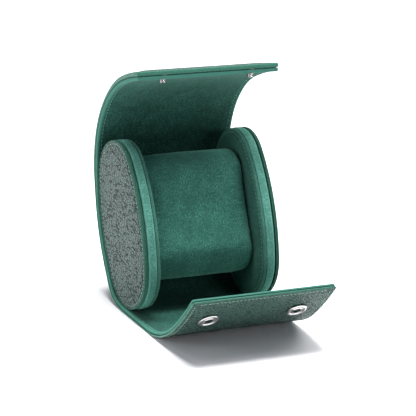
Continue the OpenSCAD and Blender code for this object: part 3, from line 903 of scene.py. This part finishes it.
DEEP = [-24.5, -22.5, -20, -17.5, -15, -13, -11.4, -10.2, -9.0, -8.0, -7.0, -6.0, -5.2, -4.5, -3.9, -3.4, -3.0]
for side, label in ((-1, "left"), (1, "right")):
    # Padded leather disc: a low dome, a stitched channel, a rolled edge, a
    # groove and the turned leather band behind it
    dome = [(d, 39.72 + 0.62 * (1 - ((24.5 + d) / 22.0) ** 2.4)) for d in DEEP]
    disc = dome + [
        (-2.7, 39.66), (-2.45, 39.52), (-2.25, 39.36), (-2.05, 39.30), (-1.85, 39.36), (-1.65, 39.52), (-1.4, 39.70),
        (-1.1, 39.80), (-0.8, 39.80), (-0.5, 39.72), (-0.25, 39.55), (-0.08, 39.30), (-0.02, 39.05), (-0.08, 38.85),
        (-0.25, 38.72), (-0.55, 38.66), (-0.62, 38.60), (-0.55, 38.54), (-0.22, 38.46), (-0.06, 38.30), (-0.03, 38.10),
        (-0.12, 37.92), (-0.40, 37.84), (-1.2, 37.80), (-2.4, 37.80), (-5.0, 37.80), (-9.0, 37.80), (-17.0, 37.80)]
    # the band behind the groove and the rolled edge take the smooth edge colour, which also paints light onto the
    # band's shade
    wear_and_light = lambda d, x: 1.0 if x < 39.4 else 0.75 * math.exp(-((d + 0.35) / 0.35) ** 2) + 0.15 * (d > -2.0)

    def disc_lift(i, d, x, vu):
        if x < 39.2:
            return 0.0
        n = np.array([fbm((vu[k, 0] / 13.0 + 7 * side, vu[k, 1] / 13.0, 4.0)) for k in range(len(vu))])
        ph = 0.5 + 0.5 * np.cos(2 * math.pi * OV_LEN[side][:-1] / (PERIM[side] / 104))
        return 0.10 * n * min(1.0, max(0.0, (-d - 2.4) / 4)) - 0.06 * ph * math.exp(-((d + 2.05) / 0.4) ** 2)

    ob = ring_piece("%s_cap_disc" % label, side, disc, LEATHER_CAP_PAINTED_LIGHT, wear_and_light, poles=(True, True), lift=disc_lift)
    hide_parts("%s_cap_leather" % label)
    press(ob)

    # Suede rim, from the dark groove to the seam
    rim = [(-1.75, 37.02), (-1.0, 37.05), (-0.55, 36.98), (-0.25, 36.80), (-0.10, 36.5), (-0.02, 36.1), (0.02, 35.6),
           (0.03, 35.0), (0.02, 34.4), (0.0, 33.8), (-0.03, 33.3), (-0.08, 32.95), (-0.18, 32.65), (-0.36, 32.42),
           (-0.62, 32.28), (-0.95, 32.22), (-1.5, 32.20), (-1.62, 32.5), (-1.66, 33.5), (-1.68, 35.0), (-1.70, 36.5)]

    def rim_lift(i, d, x, vu):
        return 0.0

    # painted sheen: the rim's rounded shoulders are made lighter
    ob = ring_piece("%s_cap_rim_suede" % label, side, rim, SUEDE_RIM_LIT, lambda d, x: 0.35 * (d > -0.5) * (x > 36.4) + 0.25 * (d > -0.5) * (x < 33.0), close=True)
    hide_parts("%s_cap_rim" % label)
    press(ob)

    # Inner panel: turned over the rim's inner edge, stitched, with a soft face
    face_x = lambda d: 29.86 - 0.35 * (1 - ((24.5 + d) / 22.0) ** 2) * 0.9
    front = [(-1.55, 32.16), (-0.98, 32.14), (-0.64, 32.06), (-0.38, 31.90), (-0.22, 31.65), (-0.18, 31.35), (-0.22, 31.0),
             (-0.36, 30.65), (-0.62, 30.35), (-0.95, 30.13), (-1.30, 30.02), (-1.60, 30.00), (-1.85, 30.06), (-2.05, 30.16),
             (-2.22, 30.20), (-2.40, 30.15), (-2.65, 30.02), (-3.0, 29.92)]
    front += [(d, face_x(d)) for d in DEEP[::-1][1:]]
    back = [(-24.5, 30.5), (-17, 30.55), (-9, 30.6), (-4, 30.62), (-2.4, 30.66), (-1.75, 30.8), (-1.62, 31.2), (-1.58, 31.8)]
    full = front + back

    def panel_lift(i, d, x, vu):
        if x > 30.3 or d > -2.5:
            ph = 0.5 + 0.5 * np.cos(2 * math.pi * OV_LEN[side][:-1] / (PERIM[side] / 100))
            return 0.07 * ph * math.exp(-((d + 2.22) / 0.35) ** 2) if x < 30.3 else 0.0
        return 0.08 * np.array([fbm((vu[k, 0] / 12.0 + 3 * side, vu[k, 1] / 12.0, 9.0)) for k in range(len(vu))])

    # painted sheen: the panel is made lighter where it turns over the rim's inner edge
    ob = ring_piece("%s_cap_inner" % label, side, full, SUEDE_CAP_LIT, lambda d, x: 0.35 * (-1.4 < d) * (x < 32.0), close=True, lift=panel_lift)
    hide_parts("%s_cap_inner_panel" % label)
    press(ob)

    # Foam core and board inside
    core = [(-24.5, 36.9), (-17, 36.95), (-9, 36.98), (-3.5, 36.98), (-2.5, 36.9), (-2.0, 36.6), (-1.85, 36.0), (-1.82, 34.5),
            (-1.82, 32.5), (-1.9, 31.6), (-2.1, 31.1), (-2.6, 30.85), (-3.5, 30.78), (-9, 30.76), (-17, 30.74), (-24.5, 30.72)]
    ob = ring_piece("%s_cap_core" % label, side, core, FOAM, poles=(True, True))
    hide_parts("%s_cap_foam" % label)
    press(ob)

    # Stitches on the disc and on the inner panel
    def ring_stitches(name, d, x, out, count, mat, length):
        pts = oval(side, d)
        L = np.concatenate([[0], np.cumsum(np.linalg.norm(np.diff(np.vstack([pts, pts[:1]]), axis=0), axis=1))])
        loop = np.vstack([pts, pts[:1]])
        places = []
        for k in range(count):
            s = (k + 0.5) * L[-1] / count
            p = np.array([[np.interp(s, L, loop[:, 0]), np.interp(s, L, loop[:, 1])]])
            q = np.array([[np.interp(min(s + 0.2, L[-1]), L, loop[:, 0]), np.interp(min(s + 0.2, L[-1]), L, loop[:, 1])]])
            a, b = cap_point(side, x, p)[0], cap_point(side, x, q)[0]
            places.append((a, b - a, (side * out, 0, 0)))
        o = stitch_mesh(name, places, mat, length=length)
        press(o)

    ring_stitches("%s_cap_disc_stitches" % label, -2.05, 39.42, 1, 100, THREAD, 1.6)
    ring_stitches("%s_cap_inner_stitches" % label, -2.22, 30.10, -1, 100, THREAD_IN, 1.5)

for n in ("left_cap_board", "right_cap_board"):
    NODE[n].data.materials.clear()
    NODE[n].data.materials.append(CORE)

# --------------------------------------------------------------------------
# Pillow: a suede cover with end panels, filled until it swells
# --------------------------------------------------------------------------
PIL_L, PIL_D, PIL_H, PIL_R, PIL_V, PIL_U = 58.0, 31.0, 68.6, 13.5, -0.5, 3.3


def rounded_loop(w, h, r, step=2.0):
    """Round-cornered outline, as points and outward directions, at an even step."""
    pts = []
    fine = 24
    for k, (sx, sy) in enumerate(((1, 1), (-1, 1), (-1, -1), (1, -1))):
        for i in range(fine):
            a = rad(90 * k + 90 * (i + 0.5) / fine)
            pts.append((sx * (w / 2 - r) + r * math.cos(a), sy * (h / 2 - r) + r * math.sin(a)))
    pts = np.array(pts)
    loop = np.vstack([pts, pts[:1]])
    L = np.concatenate([[0], np.cumsum(np.linalg.norm(np.diff(loop, axis=0), axis=1))])
    n = int(round(L[-1] / step))
    s = np.arange(n) * L[-1] / n
    return np.stack([np.interp(s, L, loop[:, 0]), np.interp(s, L, loop[:, 1])], 1)


def pillow_rings():
    """Closed pillow as rings from the middle of one end to the other: (x, scale inward)."""
    L, e = PIL_L / 2, 3.2
    rings = []
    for d in (12.0, 9.5, 7.4, 5.6, 4.1):
        rings.append((-L, d))
    for a in (0, 18, 36, 54, 72, 90):
        rings.append((-L + e - e * math.cos(rad(a)), e - e * math.sin(rad(a))))
    n = 24
    for i in range(1, n):
        rings.append((-L + e + (2 * L - 2 * e) * i / n, 0.0))
    for a in (90, 72, 54, 36, 18, 0):
        rings.append((L - e + e * math.cos(rad(a)), e - e * math.sin(rad(a))))
    for d in (4.1, 5.6, 7.4, 9.5, 12.0):
        rings.append((L, d))
    return rings


def build_pillow(shrink):
    rings = pillow_rings()
    base = rounded_loop(PIL_D - 2 * shrink, PIL_H - 2 * shrink, PIL_R - shrink)
    n = len(base)
    verts, info = [], []
    for x, d in rings:
        w, h = (PIL_D / 2 - shrink - d) / (PIL_D / 2 - shrink), (PIL_H / 2 - shrink - d) / (PIL_H / 2 - shrink)
        k = max(0.0, 1 - shrink / (PIL_L / 2))
        for p in base:
            verts.append((x * k, p[0] * w, p[1] * h))
            info.append((x, d))
    m = len(rings)
    idx = np.arange(m * n).reshape(m, n)
    loop = np.concatenate([idx, idx[:, :1]], 1)
    faces = [tuple(q) for q in quads(loop, flip=False)]
    verts = list(verts)
    for end in (0, m - 1):
        ring = idx[end]
        c = np.mean([verts[i] for i in ring], axis=0)
        verts.append(tuple(c))
        ci = len(verts) - 1
        # an inner ring keeps the fan's triangles small
        inner = []
        for i in ring:
            verts.append(tuple(c + (np.array(verts[i]) - c) * 0.45))
            inner.append(len(verts) - 1)
        for k in range(n):
            a, b, a2, b2 = int(ring[k]), int(ring[(k + 1) % n]), inner[k], inner[(k + 1) % n]
            if end == 0:
                faces += [(a, a2, b2, b), (a2, ci, b2)]
            else:
                faces += [(a, b, b2, a2), (a2, b2, ci)]
    return np.array(verts), faces, idx, n, rings


def to_row(p):
    """Pillow coordinates (x, v, u about its middle) to the row frame, mm."""
    y, z = lean_yz(p[:, 1] + PIL_V, p[:, 2] + PIL_U)
    return np.stack([p[:, 0], y - Y_MID, z], 1)


verts, faces, idx, n_loop, rings = build_pillow(1.0)
rest = verts.copy()
swollen = verts.copy()
K = 8.0                                           # simulated eight times as large
me = bpy.data.meshes.new("pillow_sim")
me.from_pydata((verts * MM * K).tolist(), [], faces)
sim = bpy.data.objects.new("pillow_sim", me)
scene.collection.objects.link(sim)
cloth = sim.modifiers.new("Cloth", "CLOTH")
cs = cloth.settings
cs.quality = 6
cs.mass = 0.3
cs.tension_stiffness = cs.compression_stiffness = 14
cs.shear_stiffness = 8
cs.bending_stiffness = 2.5
cs.use_pressure = True
cs.uniform_pressure_force = 4.0
cs.effector_weights.gravity = 0.0
cloth.collision_settings.use_self_collision = False
cloth.collision_settings.use_collision = False
cloth.point_cache.frame_start, cloth.point_cache.frame_end = 1, 24
for f in range(1, 21):
    scene.frame_set(f)
dg = bpy.context.evaluated_depsgraph_get()
ev = sim.evaluated_get(dg)
moved = np.array([v.co for v in ev.data.vertices]) / (MM * K)
scene.frame_set(1)
bpy.data.objects.remove(sim, do_unlink=True)
if moved.shape == verts.shape and np.isfinite(moved).all():
    step = moved - verts
    size = np.linalg.norm(step, axis=1)
    cap = 1.3
    print("pillow swells by up to %.2f mm, mean %.2f" % (size.max(), size.mean()))
    factor = np.where(size > cap, cap / np.maximum(size, 1e-9), 1.0)
    swollen = verts + step * factor[:, None]
swollen[:, 0] = verts[:, 0] * (PIL_L / 2) / (PIL_L / 2 - 1.0)    # the ends keep their place between the caps

# A slight waist in front, where things are strapped round it, and the cover's own unevenness
P = swollen.copy()
waist = np.exp(-((P[:, 2] + 3.0) / 11.0) ** 2) * np.exp(-(P[:, 0] / 21.0) ** 4)
P[:, 1] += np.where(P[:, 1] < 0, 0.75, 0.0) * waist * np.clip(-P[:, 1] / 12, 0, 1)
for i in range(len(P)):
    q = P[i]
    k = 0.28 * fbm((q[0] / 17.0, q[1] / 17.0 + 5.0, q[2] / 17.0)) + 0.10 * fbm((q[0] / 6.0, q[1] / 6.0, q[2] / 6.0 + 3.0))
    P[i] += k * np.array([0.0, np.sign(q[1]) * min(1, abs(q[1]) / 8), np.sign(q[2]) * min(1, abs(q[2]) / 8)])
lo, hi = P.min(0), P.max(0)
limit = np.array([PIL_L / 2, PIL_D / 2, PIL_H / 2])
P = np.clip(P, -limit - [0.0, 0.35, 0.35], limit + [0.0, 0.35, 0.35])

# Split into a cover, which turns over the ends, and two end panels inside it
m_rings = len(rings)
ring_d = np.array([r[1] for r in rings])
ring_x = np.array([r[0] for r in rings])
first = [i for i in range(m_rings) if ring_x[i] < 0 and ring_d[i] >= 4.1 - 1e-6]
SEAM_L = max(first)                       # last ring of the left end panel
SEAM_R = m_rings - 1 - SEAM_L


def pillow_ring(i):
    return P[idx[i]]


def lofted(name, ring_list, mat, cap_ends, wear_and_light_of, uv_rows):
    """Closed surface through rings of points; cap_ends closes with a fan."""
    n = len(ring_list[0])
    v = np.concatenate(ring_list)
    m = len(ring_list)
    ix = np.arange(m * n).reshape(m, n)
    lp = np.concatenate([ix, ix[:, :1]], 1)
    f = [tuple(q) for q in quads(lp)]
    wear_and_light = np.repeat(np.array(wear_and_light_of, float), n)
    v = list(v)
    if cap_ends:
        for end in (0, m - 1):
            c = np.mean([v[i] for i in ix[end]], axis=0)
            v.append(c)
            wear_and_light = np.append(wear_and_light, wear_and_light[ix[end][0]])
            ci = len(v) - 1
            for k in range(n):
                a, b = int(ix[end][k]), int(ix[end][(k + 1) % n])
                f.append((ci, b, a) if end == 0 else (ci, a, b))
    else:
        f += [tuple(q) for q in quads(np.concatenate([lp[-1:], lp[:1]], 0))]
    v = np.array(v)
    # grain: arc length round the loop, and uv_rows along it
    mid = ring_list[m // 2]
    L = np.concatenate([[0], np.cumsum(np.linalg.norm(np.diff(np.vstack([mid, mid[:1]]), axis=0), axis=1))])
    fuv = []
    for q in f:
        row = []
        for i in q:
            if i >= m * n:
                row.append((float(v[i][1]), float(v[i][2])))
            else:
                r, k = divmod(i, n)
                row.append([L[k], uv_rows[r]])
        us = [r[0] for r in row]
        if max(us) - min(us) > L[-1] / 2:
            row = [[u + (L[-1] if u < L[-1] / 2 else 0), w] for u, w in row]
        fuv += row
    return make(name, to_row(v), f, mat, face_uv=np.array(fuv), attrs={"wear_and_light": wear_and_light})


def inward(ring, by, dx):
    c = ring.mean(0)
    w = np.array([0, 1, 1.0])
    d = (ring - c) * w
    ln = np.linalg.norm(d, axis=1, keepdims=True)
    return ring - d / ln * by + np.array([dx, 0, 0])


outer_rings = [pillow_ring(i) for i in range(SEAM_L, SEAM_R + 1)]
inner_rings = [inward(r, 0.9, 0.0) for r in outer_rings][::-1]
# the cover's turned ends: a small lip round each end panel
lip_l = [inward(outer_rings[0], 0.45, 0.35)]
lip_r = [inward(outer_rings[-1], 0.45, -0.35)]
cover_rings = outer_rings + lip_r + [inward(outer_rings[-1], 0.9, -0.9)] + inner_rings[1:-1] + [inward(outer_rings[0], 0.9, 0.9)] + lip_l
along = [0.0]
for a, b in zip(cover_rings[:-1], cover_rings[1:]):
    along.append(along[-1] + float(np.linalg.norm(a - b, axis=1).mean()))
# painted sheen: the cover's rows near its turned ends are made lighter
edge_sheen_rows = [0.25 if (i < 3 or len(outer_rings) - 4 < i < len(outer_rings)) else 0.0 for i in range(len(cover_rings))]
cover = lofted("pillow_cover_suede", cover_rings, SUEDE_PILLOW_LIT, False, edge_sheen_rows, along)
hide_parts("pillow_cover")
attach(cover, "pillow")

for sgn, start in ((-1, 0), (1, m_rings - 1)):
    order = list(range(0, SEAM_L + 1)) if sgn < 0 else list(range(m_rings - 1, SEAM_R - 1, -1))
    rr = [pillow_ring(i) for i in order]
    tip = [inward(rr[-1], 0.35, -sgn * 0.02), inward(rr[-1], 0.55, -sgn * 0.5)]
    front = [inward(r, 0.0, 0.0) for r in rr[:-1]] + tip
    back = [inward(rr[-1], 1.2, -sgn * 1.1)] + [inward(r, 0.3, -sgn * 1.15) for r in rr[:-1][::-1]]
    seq = front + back
    if sgn > 0:
        seq = seq[::-1]
    al = [0.0]
    for a, b in zip(seq[:-1], seq[1:]):
        al.append(al[-1] + float(np.linalg.norm(a - b, axis=1).mean()))
    o = lofted("pillow_end_%s" % ("left" if sgn < 0 else "right"), seq, SUEDE_PILLOW_LIT, True, [0.0] * len(seq), al)
    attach(o, "pillow")
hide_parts("pillow_end_panels")

core_rings = [inward(r, 1.15, 0.0) for r in outer_rings]
core_al = [float(r[:, 0].mean()) for r in core_rings]
core = lofted("pillow_core", core_rings, FOAM, True, [0.0] * len(core_rings), core_al)
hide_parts("pillow_foam")
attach(core, "pillow")

# --------------------------------------------------------------------------
# Press studs keep their solids, with plated and plain metal
# --------------------------------------------------------------------------
for n, mt in (("snap_sockets", CHROME), ("snap_studs", CHROME), ("snap_spring_wires", STEEL), ("snap_rivets", BRASS), ("snap_stud_posts", BRASS)):
    NODE[n].data.materials.clear()
    NODE[n].data.materials.append(mt)

# --------------------------------------------------------------------------
# Floor, lights and camera
# --------------------------------------------------------------------------
m = Nodes("floor_pale")
tex = m.new("ShaderNodeTexCoord")
nf = m.noise(tex.outputs["Object"], 40.0, 3.0, 0.5)
m.link(m.mix(nf.outputs["Fac"], (0.90, 0.90, 0.91), (0.93, 0.93, 0.94)), m.bsdf.inputs["Base Color"])
m.set(Roughness=0.6, Specular_IOR_Level=0.2)
# Round, and no wider than the lights reach, so that it never turns dark in a low view
turn = np.linspace(0, 2 * math.pi, 64, endpoint=False)
disc_xyz = np.stack([1750 * np.cos(turn), 1750 * np.sin(turn), 0 * turn], 1)
floor = make("floor", disc_xyz, [tuple(range(64))], m.mat, smooth=False, closed=False)

world = bpy.data.worlds.new("studio")
scene.world = world
world.use_nodes = True
bg = world.node_tree.nodes["Background"]
# The room beyond the floor is seen pale, while it lights the scene only a little
sky = world.node_tree.nodes.new("ShaderNodeBackground")
sky.inputs[0].default_value = (0.97, 0.97, 0.98, 1.0)
sky.inputs[1].default_value = 1.0
path = world.node_tree.nodes.new("ShaderNodeLightPath")
both = world.node_tree.nodes.new("ShaderNodeMixShader")
world.node_tree.links.new(path.outputs["Is Camera Ray"], both.inputs[0])
world.node_tree.links.new(bg.outputs[0], both.inputs[1])
world.node_tree.links.new(sky.outputs[0], both.inputs[2])
world.node_tree.links.new(both.outputs[0], world.node_tree.nodes["World Output"].inputs[0])
bg.inputs[0].default_value = (0.86, 0.86, 1.40, 1.0)
bg.inputs[1].default_value = 0.075


def area(name, loc, target, size, power, colour=(1, 1, 1)):
    li = bpy.data.lights.new(name, "AREA")
    li.shape = "RECTANGLE"
    li.size, li.size_y = size
    li.energy = power
    li.color = colour
    ob = bpy.data.objects.new(name, li)
    scene.collection.objects.link(ob)
    ob.location = loc
    d = Vector(target) - Vector(loc)
    ob.rotation_euler = d.to_track_quat("-Z", "Y").to_euler()
    return ob


area("key_top", (0.03, 0.16, 2.2), (0.0, 0.0, 0.04), (0.95, 0.7), 86.0)
area("key_right", (1.15, 0.12, 1.90), (0.0, 0.0, 0.04), (1.4, 1.4), 33.0)
area("fill_left", (-1.9, -0.3, 0.85), (0.0, 0.0, 0.05), (0.9, 1.1), 11.0)
area("rim_left_back", (-1.1, 1.5, 0.75), (0.0, 0.0, 0.06), (0.5, 0.8), 9.0)
area("front_low", (0.75, -1.90, 0.85), (0.0, 0.0, 0.05), (0.6, 0.5), 7.0)

cam_data = bpy.data.cameras.new("camera")
cam = bpy.data.objects.new("camera", cam_data)
scene.collection.objects.link(cam)
right, up, fwd = Vector((0.8943, -0.4431, 0.0624)), Vector((0.0867, 0.3086, 0.9472)), Vector((0.4390, 0.8416, -0.3146))
rot = Matrix((right.normalized(), up.normalized(), -fwd.normalized())).transposed()
cam.matrix_world = Matrix.Translation((-0.529534, -1.009040, 0.437819)) @ rot.to_4x4()
cam_data.sensor_width = 36.0
cam_data.lens = 198.918
cam_data.clip_start, cam_data.clip_end = 0.05, 20.0
scene.camera = cam
scene.view_settings.view_transform = "Standard"
scene.view_settings.look = "None"
scene.view_settings.exposure = 0.0
